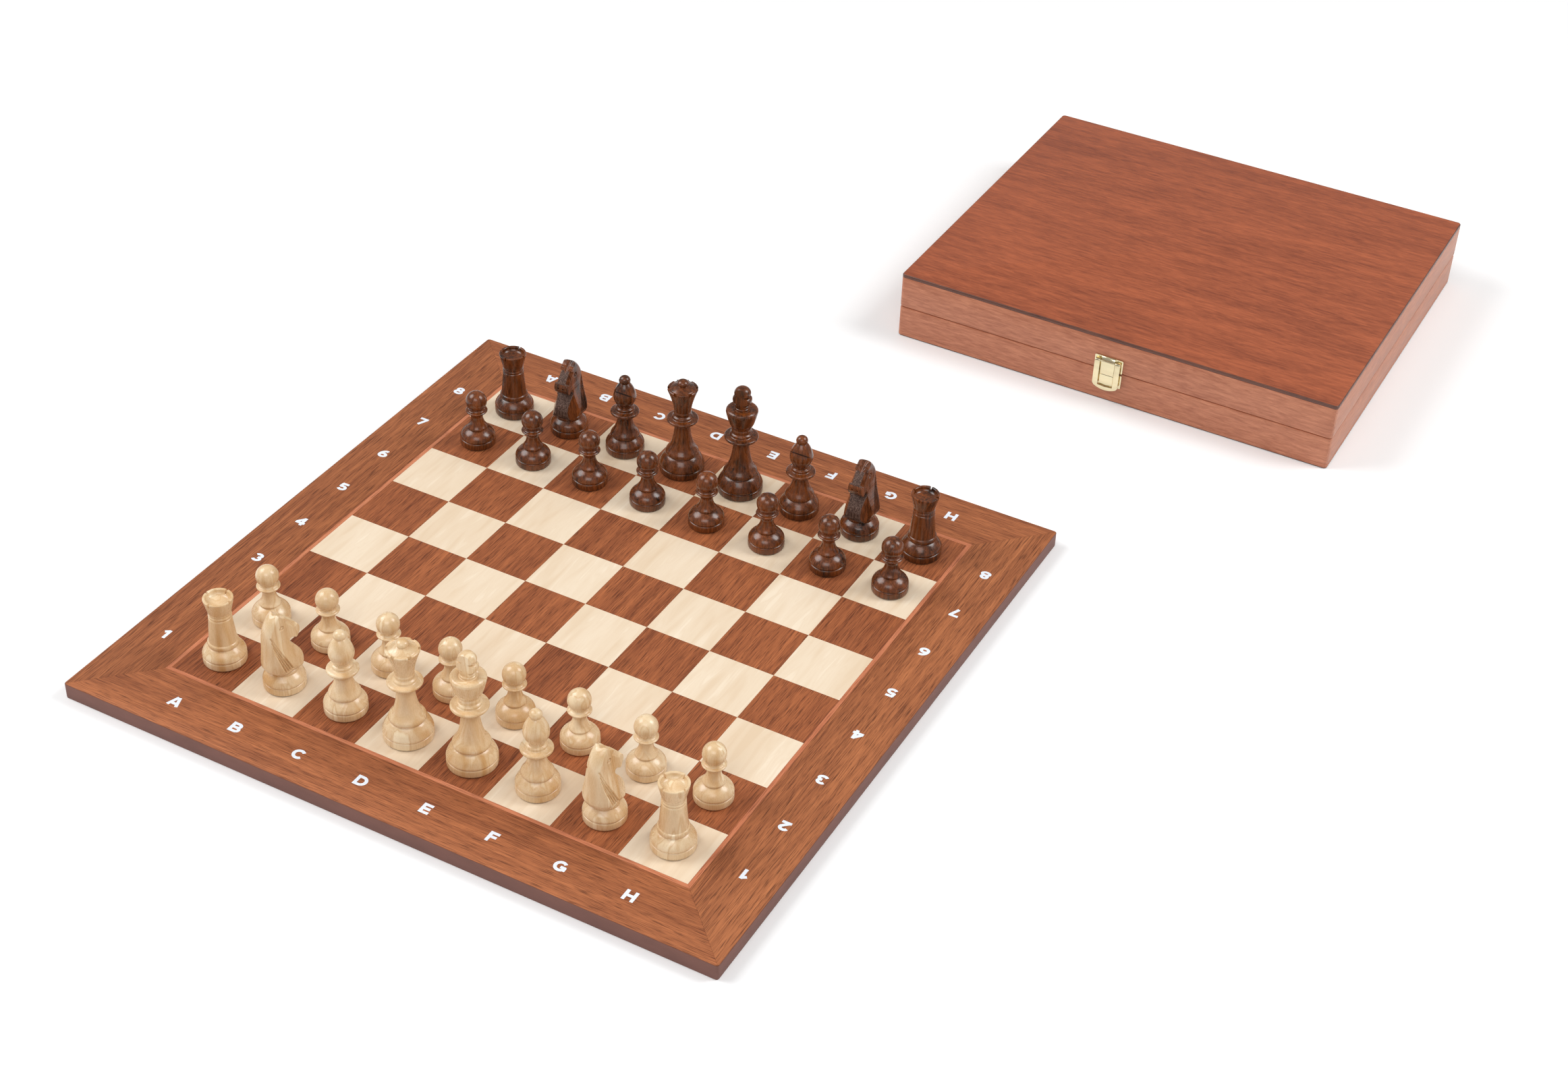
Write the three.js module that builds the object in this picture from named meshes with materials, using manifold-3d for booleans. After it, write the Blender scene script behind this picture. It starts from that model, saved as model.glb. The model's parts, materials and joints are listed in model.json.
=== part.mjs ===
// A wooden chess set: an inlaid board with its men in the starting position, and the hinged box
// they are stored in. Millimetres, +Z up. White sits at the -Y side of the board and the box stands
// behind the black men. Nothing touches: neighbours keep GAP between them.
import * as THREE from "three";
import { mergeVertices } from "three/addons/utils/BufferGeometryUtils.js";
import Module from "manifold-3d";

const wasm = await Module();
wasm.setup();

const GAP = 0.3;

// Board
const SQUARE = 50;
const FIELD = 8 * SQUARE;
const BOARD = 500;
const BOARD_CORNER = 3;
const BOARD_HEIGHT = 12;
const VENEER = 0.9;
const STRINGING = 3;

// Men
const FELT = 0.5;
const SIDES = 16;
const PAWN_SIDES = 12;
const FINIAL_THICKNESS = 7.4;
const ROOK_SLIT = 1.6;
const ROOK_SLIT_DEPTH = 3;

// Storage box
const BOX_LENGTH = 370;
const BOX_WIDTH = 330;
const BOX_HEIGHT = 58;
const BOX_CORNER = 3;
const BOX_FROM_BOARD = [21, 448]; // the box's front left corner, from the middle of the board
const WALL = 8;
const PANEL = 4;
const SEAM = 27.6;
const LINING = 1.5;
const DIVIDER = 5;

// Brass fittings
const PLATE = 0.8;
const KNUCKLE = 1.75;
const PIN = 0.8;
const PIN_SIDES = 12;

const WHITE = material(0xebd3ab, 0.35);
const BLACK = material(0x4a2a1a, 0.25);
const FRAME_VENEER = material(0x8f5237, 0.45);
const FIELD_VENEER = material(0xc09a78, 0.45);
const STRING_VENEER = material(0xb9704b, 0.45);
const CORE = material(0x6e4a40, 0.6);
const BOX_WOOD = material(0xa0603f, 0.45);
const BOX_PANEL = material(0x9c5834, 0.4);
const FELT_CLOTH = material(0x2f5a3a, 0.95);
const BRASS = material(0xd7c98f, 0.25, 0.9);

function material(color, roughness, metalness = 0) {
  return new THREE.MeshStandardMaterial({ color, roughness, metalness });
}

function mesh(name, geometry, look) {
  const made = new THREE.Mesh(geometry, look);
  made.name = name;
  return made;
}

// ---- shapes ----

function solid(geometry) {
  const bare = geometry.index ? geometry.toNonIndexed() : geometry.clone();
  bare.deleteAttribute("normal");
  bare.deleteAttribute("uv");
  const merged = mergeVertices(bare, 1e-4);
  return new wasm.Manifold(
    new wasm.Mesh({
      numProp: 3,
      vertProperties: merged.attributes.position.array,
      triVerts: new Uint32Array(merged.index.array),
    }),
  );
}

function geometryOf(body) {
  const data = body.getMesh();
  const made = new THREE.BufferGeometry();
  made.setAttribute("position", new THREE.BufferAttribute(data.vertProperties, 3));
  made.setIndex(new THREE.BufferAttribute(data.triVerts, 1));
  return made;
}

function joined(...geometries) {
  return geometryOf(geometries.map(solid).reduce((all, next) => all.add(next)));
}

function cut(geometry, ...tools) {
  return geometryOf(tools.map(solid).reduce((left, tool) => left.subtract(tool), solid(geometry)));
}

function common(first, second) {
  return geometryOf(solid(first).intersect(solid(second)));
}

// A box between two corners.
function block([x0, y0, z0], [x1, y1, z1]) {
  const made = new THREE.BoxGeometry(x1 - x0, y1 - y0, z1 - z0);
  return made.translate((x0 + x1) / 2, (y0 + y1) / 2, (z0 + z1) / 2);
}

// A body of revolution about Z; the profile is a list of [radius, height] going up.
function turned(profile, sides = SIDES) {
  const points = [[0, profile[0][1]], ...profile].map(([r, z]) => new THREE.Vector2(r, z));
  if (points.at(-1).x > 0) points.push(new THREE.Vector2(0, points.at(-1).y));
  return new THREE.LatheGeometry(points, sides).rotateX(Math.PI / 2);
}

// A cylinder along X.
function rod(x0, x1, y, z, radius) {
  const made = new THREE.CylinderGeometry(radius, radius, x1 - x0, PIN_SIDES);
  return made.rotateZ(Math.PI / 2).translate((x0 + x1) / 2, y, z);
}

function polygon(points) {
  return new THREE.Shape(points.map(([x, y]) => new THREE.Vector2(x, y)));
}

function raised(shape, z0, z1) {
  const options = { depth: z1 - z0, bevelEnabled: false, curveSegments: 3 };
  return new THREE.ExtrudeGeometry(shape, options).translate(0, 0, z0);
}

// A centred rectangle with round corners.
function roundedRectangle(length, width, radius) {
  const x = length / 2 - radius;
  const y = width / 2 - radius;
  const shape = new THREE.Shape();
  shape.absarc(x, -y, radius, -Math.PI / 2, 0);
  shape.absarc(x, y, radius, 0, Math.PI / 2);
  shape.absarc(-x, y, radius, Math.PI / 2, Math.PI);
  shape.absarc(-x, -y, radius, Math.PI, 1.5 * Math.PI);
  shape.closePath();
  return shape;
}

function rectangle(length, width) {
  const x = length / 2;
  const y = width / 2;
  return polygon([[-x, -y], [x, -y], [x, y], [-x, y]]);
}

// The same outline with a window in it.
function ring(outline, window) {
  outline.holes.push(window);
  return outline;
}

// ---- board ----

function makeBoard() {
  const board = new THREE.Group();
  const coreTop = BOARD_HEIGHT - VENEER - GAP;
  const veneerBottom = BOARD_HEIGHT - VENEER;
  const outline = () => roundedRectangle(BOARD, BOARD, BOARD_CORNER);
  const stringingOuter = FIELD + 2 * STRINGING;
  const borderInner = stringingOuter / 2 + GAP;
  const layer = (shape) => raised(shape, veneerBottom, BOARD_HEIGHT);

  board.add(mesh("board_core", raised(outline(), 0, coreTop), CORE));
  const field = rectangle(FIELD - 2 * GAP, FIELD - 2 * GAP);
  board.add(mesh("playing_field", layer(field), FIELD_VENEER));
  const stringing = ring(rectangle(stringingOuter, stringingOuter), rectangle(FIELD, FIELD));
  board.add(mesh("inlay_stringing", layer(stringing), STRING_VENEER));

  ["front", "right", "back", "left"].forEach((side, quarter) => {
    const half = BOARD / 2;
    const mitre = GAP / 2;
    const strip = polygon([
      [-half + mitre, -half],
      [half - mitre, -half],
      [borderInner - mitre, -borderInner],
      [-borderInner + mitre, -borderInner],
    ]);
    const trimmed = common(layer(strip), layer(outline()));
    trimmed.rotateZ((quarter * Math.PI) / 2);
    board.add(mesh("border_" + side, trimmed, FRAME_VENEER));
  });
  return board;
}

// ---- men ----

const PAWN = [
  [13.3, 0], [13.3, 4.2], [12.9, 4.8], [13.3, 5.8], [12.6, 8.8], [7.2, 13.4], [7, 15],
  [4.8, 19.5], [4.6, 24.6], [8.2, 28.4], [5.6, 30.4], [8, 35.4], [7.5, 39.8], [4.6, 43.5], [0, 44.9],
];
const ROOK = [
  [14.8, 0], [14.8, 4.4], [14.3, 5.1], [15, 6.7], [15, 8.8], [12, 12.4], [9.9, 13.4], [10.2, 16.8],
  [9.5, 17.8], [7.9, 34.5], [7.7, 40.2], [10.2, 49], [10.2, 52.3], [8.2, 52.3], [7.2, 48.6], [0, 48.2],
];
const BISHOP = [
  [14.7, 0], [14.7, 4.4], [14.3, 5.1], [14.8, 6.3], [14, 8.7], [11.9, 11.6], [10.1, 13.4],
  [10.8, 15.2], [8.5, 19.4], [6.5, 24.4], [5.5, 28.8], [6, 30.5], [10.5, 33.6], [10.8, 35],
  [7.1, 36.9], [5.8, 39.6], [8.2, 44], [8.6, 49], [6.9, 55.5], [3.6, 60.6], [4.4, 63.5],
  [2.8, 65.6], [0, 65.9],
];
const QUEEN = [
  [16.8, 0], [16.8, 4.5], [16.3, 5.1], [17, 6.4], [16.2, 9], [13, 14], [11.7, 15.3], [12.4, 17],
  [9.8, 21.4], [7.8, 26.4], [6.2, 33.5], [6, 41], [11.5, 44.5], [11.7, 46.2], [7.7, 47.4],
  [6.5, 52.5], [7.6, 59.5], [11.2, 70.6], [11.4, 72.3], [9.6, 72.6], [4, 75.2], [4.3, 77.6],
  [2.8, 79.2], [0, 79.6],
];
const KING = [
  [16.9, 0], [16.9, 4.5], [16.4, 5.1], [17, 6.4], [16.3, 9], [13, 14], [11.8, 15.3], [12.6, 17],
  [10, 21.6], [8, 27], [6.5, 35], [6, 42], [12.5, 46.9], [12.6, 48.4], [8.3, 50], [7.2, 54.5],
  [8.3, 60.5], [10.4, 66.5], [11.9, 70.8], [11.2, 72.1], [5.6, 72.4], [5.3, 74.2],
];
const KING_FINIAL = [
  [5, 73.8], [5, 75.9], [4, 76.4], [6.7, 78.2], [7.2, 80.1], [6.2, 82.8], [4.2, 83.5], [6, 84.8],
  [5.9, 87], [3, 90.1], [0, 90.7],
];
const KNIGHT_BASE = [
  [14.4, 0], [14.4, 4.3], [14, 5], [14.5, 6.3], [14.2, 8.6], [12.6, 10.8], [10, 13], [10.1, 14.6],
  [9.2, 16],
];
// The knight's head from the side, [forward, height], and its half width at each height.
const KNIGHT_SIDE = [
  [-11.8, 16.3], [10.2, 16.3], [12.6, 20.4], [12.4, 23.6], [3.2, 37], [3.8, 39.5], [9.2, 38.8],
  [12.4, 43.2], [12.4, 45.6], [3.4, 55.4], [0, 57.9], [-2.8, 60.6], [-6, 59], [-10.4, 53.5],
  [-12.3, 45], [-13, 32], [-14.2, 22], [-14.2, 19.6],
];
const KNIGHT_HALF_WIDTHS = [
  [9.8, 16.3], [11.9, 19.6], [11.6, 22], [8.2, 32], [6, 40], [5.4, 50], [5, 60.6],
];

function rook() {
  const [bowlRadius, top] = ROOK.at(-3);
  const outside = 2 * bowlRadius;
  const slit = (turn) => {
    const low = [bowlRadius / 2, -ROOK_SLIT / 2, top - ROOK_SLIT_DEPTH];
    return block(low, [outside, ROOK_SLIT / 2, top + 1]).rotateZ(turn);
  };
  const quarters = [0, 1, 2, 3].map((quarter) => (quarter * Math.PI) / 2);
  return cut(turned(ROOK), ...quarters.map(slit));
}

function king() {
  const [, finialBottom] = KING_FINIAL[0];
  const [, finialTop] = KING_FINIAL.at(-1);
  const half = FINIAL_THICKNESS / 2;
  const low = [-FINIAL_THICKNESS, -half, finialBottom - 1];
  const flats = block(low, [FINIAL_THICKNESS, half, finialTop + 1]);
  return joined(turned(KING), common(turned(KING_FINIAL), flats));
}

// The head faces +Y before it is turned.
function knightHead() {
  const side = raised(polygon(KNIGHT_SIDE), -12, 12);
  side.applyMatrix4(new THREE.Matrix4().makeBasis(
    new THREE.Vector3(0, 1, 0), new THREE.Vector3(0, 0, 1), new THREE.Vector3(1, 0, 0),
  ));
  const right = KNIGHT_HALF_WIDTHS;
  const left = right.map(([x, z]) => [-x, z]).reverse();
  const front = raised(polygon([...right, ...left]), -20, 20).rotateX(Math.PI / 2);
  return common(side, front);
}

const FILES = ["a", "b", "c", "d", "e", "f", "g", "h"];
const BACK_RANK = ["rook", "knight", "bishop", "queen", "king", "bishop", "knight", "rook"];
const SHAPES = {
  pawn: { base: () => turned(PAWN, PAWN_SIDES) },
  rook: { base: rook },
  knight: { base: () => turned(KNIGHT_BASE), head: knightHead },
  bishop: { base: () => turned(BISHOP) },
  queen: { base: () => turned(QUEEN) },
  king: { base: king },
};
// How far a man is turned from square to the board, in degrees.
const TURNS = { b1: -14, e1: 2, g1: -7, h1: -17, b8: 4, e8: 3 };

function makeMen() {
  const men = new THREE.Group();
  const place = (colour, kind, file, rank) => {
    const square = FILES[file] + rank;
    const look = colour === "white" ? WHITE : BLACK;
    const facing = colour === "white" ? 0 : 180;
    const man = new THREE.Group();
    const shapes = Object.entries(SHAPES[kind]);
    shapes.forEach(([piece, make]) => {
      const ending = shapes.length > 1 ? "_" + piece : "";
      man.add(mesh(`${colour}_${kind}_${square}${ending}`, make(), look));
    });
    man.position.set((file - 3.5) * SQUARE, (rank - 4.5) * SQUARE, BOARD_HEIGHT + FELT);
    man.rotation.z = THREE.MathUtils.degToRad(facing + (TURNS[square] ?? 0));
    men.add(man);
  };
  BACK_RANK.forEach((kind, file) => {
    place("white", kind, file, 1);
    place("white", "pawn", file, 2);
    place("black", "pawn", file, 7);
    place("black", kind, file, 8);
  });
  return men;
}

// ---- storage box, with its front left bottom corner at the origin ----

function makeBox() {
  const box = new THREE.Group();
  const middle = [BOX_LENGTH / 2, BOX_WIDTH / 2, 0];
  const insideLength = BOX_LENGTH - 2 * WALL;
  const insideWidth = BOX_WIDTH - 2 * WALL;
  const outline = () => roundedRectangle(BOX_LENGTH, BOX_WIDTH, BOX_CORNER);
  const walls = () => ring(outline(), rectangle(insideLength, insideWidth));
  const centred = (shape, z0, z1) => raised(shape, z0, z1).translate(...middle);
  const add = (name, geometry, look) => box.add(mesh(name, geometry, look));

  const liningBottom = PANEL + GAP;
  const liningTop = liningBottom + LINING;
  const caseTop = SEAM - GAP / 2;
  const lidBottom = SEAM + GAP / 2;
  add("case_bottom_panel", centred(outline(), 0, PANEL), BOX_PANEL);
  add("case_frame", centred(walls(), PANEL + GAP, caseTop), BOX_WOOD);
  add("lid_frame", centred(walls(), lidBottom, BOX_HEIGHT - PANEL - GAP), BOX_WOOD);
  add("lid_top_panel", centred(outline(), BOX_HEIGHT - PANEL, BOX_HEIGHT), BOX_PANEL);
  const cloth = rectangle(insideLength - 2 * GAP, insideWidth - 2 * GAP);
  add("case_lining", centred(cloth, liningBottom, liningTop), FELT_CLOTH);
  const divider = rectangle(DIVIDER, insideWidth - 2 * GAP);
  add("case_divider", centred(divider, liningTop + GAP, caseTop - 1), BOX_WOOD);

  addLatch(add, BOX_LENGTH / 2);
  addHinge(add, "hinge_left", BOX_LENGTH * 0.2);
  addHinge(add, "hinge_right", BOX_LENGTH * 0.8);
  return box;
}

// The latch on the front wall: a U-shaped hasp hangs from a pin in the upper plate's tab and covers
// both tabs when it is down.
function addLatch(add, middle) {
  const halfPlate = 12;
  const upperPlate = [28.2, 40.5];
  const lowerPlate = [14.5, 27];
  const plateFront = -GAP - PLATE;
  const axisZ = 37;
  const axisY = plateFront - GAP - KNUCKLE;
  const haspBack = -3.6;
  const haspFront = -4.6;
  const armInside = 6.3;
  const armOutside = 10.8;
  const windowBottom = 14.8;
  const halfTab = armInside - 2 * GAP;
  const tabFront = haspBack + GAP;
  const tabsMeet = 25;
  const bore = rod(-halfPlate, halfPlate, axisY, axisZ, PIN + GAP);

  // Each tab stands out from its plate; the upper one reaches down over the lower plate.
  const upper = joined(
    block([-halfPlate, plateFront, upperPlate[0]], [halfPlate, -GAP, upperPlate[1]]),
    block([-halfTab, tabFront, upperPlate[0]], [halfTab, -GAP, axisZ]),
    block([-halfTab, tabFront, tabsMeet + GAP / 2], [halfTab, plateFront - GAP, upperPlate[0] + PLATE]),
    rod(-halfTab, halfTab, axisY, axisZ, KNUCKLE),
  );
  const lower = joined(
    block([-halfPlate, plateFront, lowerPlate[0]], [halfPlate, -GAP, lowerPlate[1]]),
    block([-halfTab, tabFront, windowBottom], [halfTab, -GAP, tabsMeet - GAP / 2]),
  );

  // The outline of the hasp in the wall's plane: a flat top, two arms and a bowed tongue.
  const shoulder = 16;
  const tongueHandle = 7;
  const outline = new THREE.Shape();
  outline.moveTo(armOutside, axisZ);
  outline.lineTo(-armOutside, axisZ);
  outline.lineTo(-armOutside, shoulder);
  outline.quadraticCurveTo(0, tongueHandle, armOutside, shoulder);
  outline.closePath();
  const window = block(
    [-armInside, haspFront - 1, windowBottom],
    [armInside, haspBack + 1, axisZ + 1],
  );
  const plate = raised(outline, -haspBack, -haspFront).rotateX(Math.PI / 2);
  const knuckles = [-1, 1].map((side) => {
    const ends = [side * armInside, side * armOutside].sort((a, b) => a - b);
    return rod(...ends, axisY, axisZ, KNUCKLE);
  });
  const hasp = cut(joined(cut(plate, window), ...knuckles), bore);
  const pin = rod(-armOutside, armOutside, axisY, axisZ, PIN);

  add("latch_upper_plate", cut(upper, bore).translate(middle, 0, 0), BRASS);
  add("latch_lower_plate", lower.translate(middle, 0, 0), BRASS);
  add("latch_hasp", hasp.translate(middle, 0, 0), BRASS);
  add("latch_pin", pin.translate(middle, 0, 0), BRASS);
}

// A butt hinge on the back wall: the case leaf has the two outer knuckles and the lid leaf the
// middle one.
function addHinge(add, name, middle) {
  const halfLeaf = 12;
  const thirds = halfLeaf / 3;
  const leafHeight = 10;
  const axisY = BOX_WIDTH + GAP + KNUCKLE;
  const inner = BOX_WIDTH + GAP;
  const outer = inner + PLATE;
  const clear = KNUCKLE + GAP;
  const bore = rod(-halfLeaf - 1, halfLeaf + 1, axisY, SEAM, PIN + GAP);
  const knuckle = (x0, x1, z0, z1) => [
    rod(x0, x1, axisY, SEAM, KNUCKLE),
    block([x0, inner, z0], [x1, outer, z1]),
  ];
  const caseLeaf = joined(
    block([-halfLeaf, inner, SEAM - clear - leafHeight], [halfLeaf, outer, SEAM - clear]),
    ...knuckle(-halfLeaf, -thirds, SEAM - clear - 1, SEAM),
    ...knuckle(thirds, halfLeaf, SEAM - clear - 1, SEAM),
  );
  const lidLeaf = joined(
    block([-halfLeaf, inner, SEAM + clear], [halfLeaf, outer, SEAM + clear + leafHeight]),
    ...knuckle(-thirds + GAP, thirds - GAP, SEAM, SEAM + clear + 1),
  );
  const pin = rod(-halfLeaf, halfLeaf, axisY, SEAM, PIN);
  add(name + "_case_leaf", cut(caseLeaf, bore).translate(middle, 0, 0), BRASS);
  add(name + "_lid_leaf", cut(lidLeaf, bore).translate(middle, 0, 0), BRASS);
  add(name + "_pin", pin.translate(middle, 0, 0), BRASS);
}

// ---- the whole set, with the middle of its footprint at the origin ----

const set = new THREE.Group();
const box = makeBox();
box.position.set(...BOX_FROM_BOARD, 0);
set.add(makeBoard(), makeMen(), box);
set.updateMatrixWorld(true);
const middle = new THREE.Box3().setFromObject(set).getCenter(new THREE.Vector3());
set.children.forEach((part) => {
  part.position.x -= middle.x;
  part.position.y -= middle.y;
});

export default set;
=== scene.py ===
"""A wooden chess set: an inlaid board, its turned men and a hinged storage box.

Shapes are written in millimetres and made in metres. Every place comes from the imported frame.
"""

import json
import math
import random

import bmesh
import bpy
from mathutils import Matrix, Vector


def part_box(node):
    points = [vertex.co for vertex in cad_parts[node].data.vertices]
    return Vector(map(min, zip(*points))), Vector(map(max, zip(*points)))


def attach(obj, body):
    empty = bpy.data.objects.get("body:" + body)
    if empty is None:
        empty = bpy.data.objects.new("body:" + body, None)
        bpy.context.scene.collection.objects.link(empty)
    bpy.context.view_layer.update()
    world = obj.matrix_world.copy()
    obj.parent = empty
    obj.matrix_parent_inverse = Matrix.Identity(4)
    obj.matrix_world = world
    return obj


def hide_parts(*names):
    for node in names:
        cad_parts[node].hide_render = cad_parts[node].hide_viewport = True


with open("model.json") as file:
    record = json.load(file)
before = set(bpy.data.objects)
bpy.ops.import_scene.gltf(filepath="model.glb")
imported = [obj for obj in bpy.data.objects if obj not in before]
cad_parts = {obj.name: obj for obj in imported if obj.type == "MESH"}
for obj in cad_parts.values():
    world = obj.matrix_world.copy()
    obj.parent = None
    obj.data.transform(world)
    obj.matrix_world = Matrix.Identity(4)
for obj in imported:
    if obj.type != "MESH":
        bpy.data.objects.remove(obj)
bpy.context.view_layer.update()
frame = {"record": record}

MM = 0.001
UP = Vector((0, 0, 1))

# Board
SQUARE = 50
FILES = 8
HALF_FIELD = FILES / 2 * SQUARE
VENEER_BOTTOM = 11.1
BOARD_TOP = 12.0
STRINGING = 3
BOARD_CORNER = 2
LETTER_HEIGHT = 9.0
LETTER_FROM_EDGE = 23.5
LETTER_WIDENING = 1.1
HALF_STROKE = 0.12
INK = 0.03
LIP = 0.3
LIP_TOP = 11.62
JOINT = 0.04

# Men
FOOT_RADIUS = {"pawn": 13.2, "rook": 14.8, "bishop": 14.6, "queen": 16.8, "king": 16.9,
               "knight_base": 14.3}
FELT = 0.5
LATHE_STEPS = 96
CREST_NOTCH, NOTCH_FOOT = 2.7, 70.4
FINIAL_THICKNESS = 7.4
SLIT, SLIT_FOOT = 1.5, 49.6
MITRE_SLIT = 0.9
MITRE_TILT = math.radians(38)
TURNS = {"b1": -14, "e1": 2, "g1": -7, "h1": -17, "b8": 4, "e8": 3}

# Box
WALL = 8
PANEL = 4.1
LID_PANEL = 3.0
BOX_CORNER = 3
BOX_GAP = 0.02
PLATE = 0.8

# Every marked corner of a turned profile is rounded by this much, and the edges of a plate that
# turn by more than this many degrees get its bevel.
CORNER_ROUNDING = 0.16
BEVELLED_FROM = 40


# ---- building meshes ----

def linked(name, data):
    """An object in the scene that shows the data."""
    made = bpy.data.objects.new(name, data)
    bpy.context.scene.collection.objects.link(made)
    return made


def box_of(node):
    """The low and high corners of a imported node, in millimetres."""
    return [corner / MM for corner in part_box(node)]


def spin(degrees):
    return Matrix.Rotation(math.radians(degrees), 4, "Z")


def rectangle(low_x, high_x, low_y, high_y):
    return [(low_x, low_y), (high_x, low_y), (high_x, high_y), (low_x, high_y)]


def bow(x, y, across, up, start, end, steps=14):
    """Points along part of an ellipse, between two angles in degrees."""
    points = []
    for step in range(steps + 1):
        angle = math.radians(start + (end - start) * step / steps)
        points.append((x + across * math.cos(angle), y + up * math.sin(angle)))
    return points


def smooth(mesh, angle=35):
    mesh.shade_smooth()
    mesh.set_sharp_from_angle(angle=math.radians(angle))
    return mesh


def mesh_of(name, points, faces):
    """A mesh from points in millimetres."""
    mesh = bpy.data.meshes.new(name)
    mesh.from_pydata([Vector(point) * MM for point in points], [], faces)
    mesh.update()
    return mesh


def skin(name, rings, closed, inside_out=False):
    """A mesh over rings of points. The last ring joins the first, or each end has a flat face."""
    count = len(rings[0])
    faces = []
    for i in range(len(rings) if closed else len(rings) - 1):
        low = i * count
        high = (i + 1) % len(rings) * count
        for j in range(count):
            k = (j + 1) % count
            faces.append((low + j, low + k, high + k, high + j))
    if not closed:
        faces.append(tuple(reversed(range(count))))
        faces.append(tuple(range((len(rings) - 1) * count, len(rings) * count)))
    if inside_out:
        faces = [face[::-1] for face in faces]
    return mesh_of(name, [point for ring in rings for point in ring], faces)


def merged(name, meshes):
    """Several meshes as one, each kept as it is."""
    joint = bmesh.new()
    for mesh in meshes:
        joint.from_mesh(mesh)
    made = bpy.data.meshes.new(name)
    joint.to_mesh(made)
    joint.free()
    return made


def moved(mesh, matrix):
    """The mesh moved by a matrix in millimetres."""
    scaled = matrix.copy()
    scaled.translation = matrix.translation * MM
    mesh.transform(scaled)
    if matrix.determinant() < 0:
        mesh.flip_normals()
    return mesh


def shifted(mesh, x, y, z=0):
    return moved(mesh, Matrix.Translation((x, y, z)))


def plate(name, outline, bottom, top, bevel=0.0, segments=2):
    """A flat piece over an outline in the XY plane, with its edges rounded by bevel."""
    work = bmesh.new()
    low = [work.verts.new((x * MM, y * MM, bottom * MM)) for x, y in outline]
    high = [work.verts.new((x * MM, y * MM, top * MM)) for x, y in outline]
    work.faces.new(reversed(low))
    work.faces.new(high)
    count = len(outline)
    for i in range(count):
        j = (i + 1) % count
        work.faces.new((low[i], low[j], high[j], high[i]))
    bmesh.ops.recalc_face_normals(work, faces=work.faces)
    if bevel:
        edges = [e for e in work.edges if e.calc_face_angle(0) > math.radians(BEVELLED_FROM)]
        bmesh.ops.bevel(work, geom=edges, offset=bevel * MM, segments=segments, profile=0.6,
                        affect="EDGES", clamp_overlap=True)
    made = bpy.data.meshes.new(name)
    work.to_mesh(made)
    work.free()
    return smooth(made)


def rounded_rectangle(length, width, radius, steps=6, centre=(0, 0)):
    points = []
    for corner, (sx, sy) in enumerate(((1, -1), (1, 1), (-1, 1), (-1, -1))):
        cx = centre[0] + sx * (length / 2 - radius)
        cy = centre[1] + sy * (width / 2 - radius)
        points += bow(cx, cy, radius, radius, 90 * (corner - 1), 90 * corner, steps)
    return points


def swept_rectangle(name, length, width, corner, section, closed):
    """A section of (inset, height) points carried round a rectangle with round corners.

    A closed section makes a ring of wall; an open one makes a panel with flat faces at both ends.
    """
    rings = []
    for inset, height in section:
        radius = max(corner - inset, 0.4)
        outline = rounded_rectangle(length - 2 * inset, width - 2 * inset, radius)
        rings.append([(x, y, height) for x, y in outline])
    return smooth(skin(name, rings, closed))


def ball_top(radius, centre, start, flatten=1.0):
    """A ball's outline from an angle up to its top, squashed by flatten."""
    return bow(0, centre, radius, flatten * radius, start, 90, 10)


def curve_through(points, steps=5):
    """A smooth curve through the points (centripetal Catmull-Rom)."""
    if len(points) < 3:
        return points
    ends = [points[0] * 2 - points[1], *points, points[-1] * 2 - points[-2]]
    curve = []
    for p0, p1, p2, p3 in zip(ends, ends[1:], ends[2:], ends[3:]):
        t1 = max((p1 - p0).length, 1e-6) ** 0.5
        t2 = t1 + max((p2 - p1).length, 1e-6) ** 0.5
        t3 = t2 + max((p3 - p2).length, 1e-6) ** 0.5
        for step in range(steps):
            t = t1 + (t2 - t1) * step / steps
            a1 = p0.lerp(p1, t / t1)
            a2 = p1.lerp(p2, (t - t1) / (t2 - t1))
            a3 = p2.lerp(p3, (t - t2) / (t3 - t2))
            b1 = a1.lerp(a2, t / t2)
            b2 = a2.lerp(a3, (t - t1) / (t3 - t1))
            curve.append(b1.lerp(b2, (t - t1) / (t2 - t1)))
    return curve + [points[-1]]


def outline_of(profile):
    """The fine outline of a turned profile of (radius, height) points; a third value marks an edge."""
    runs, run = [], []
    for entry in profile:
        run.append(Vector(entry[:2]))
        if len(entry) == 3 and len(run) > 1:
            runs.append(curve_through(run))
            run = [run[-1]]
    if len(run) > 1:
        runs.append(curve_through(run))
    outline = [runs[0][0]]
    for before, after in zip(runs, runs[1:] + [None]):
        outline += before[1:-1]
        edge = before[-1]
        if after is None:
            outline.append(edge)
            continue
        back = before[-2] - edge
        ahead = after[1] - edge
        reach = min(CORNER_ROUNDING, back.length / 3, ahead.length / 3)
        start = edge + back.normalized() * reach
        end = edge + ahead.normalized() * reach
        outline += [start, start.lerp(end, 0.5).lerp(edge, 0.4), end]
    return outline


def turned(name, profile, steps=LATHE_STEPS):
    """A body of revolution about Z, closed on the axis at both ends."""
    outline = [Vector((0, profile[0][1]))] + outline_of(profile)
    if outline[-1].x > 1e-6:
        outline.append(Vector((0, outline[-1].y)))
    points, rings, faces = [], [], []
    for radius, height in outline:
        if radius < 1e-6:
            rings.append([len(points)] * steps)
            points.append((0, 0, height))
            continue
        rings.append(list(range(len(points), len(points) + steps)))
        for step in range(steps):
            angle = 2 * math.pi * step / steps
            points.append((radius * math.cos(angle), radius * math.sin(angle), height))
    for low, high in zip(rings, rings[1:]):
        for i in range(steps):
            j = (i + 1) % steps
            corners = dict.fromkeys((low[i], low[j], high[j], high[i]))
            faces.append(tuple(corners))
    return smooth(mesh_of(name, points, faces), 50)


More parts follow.
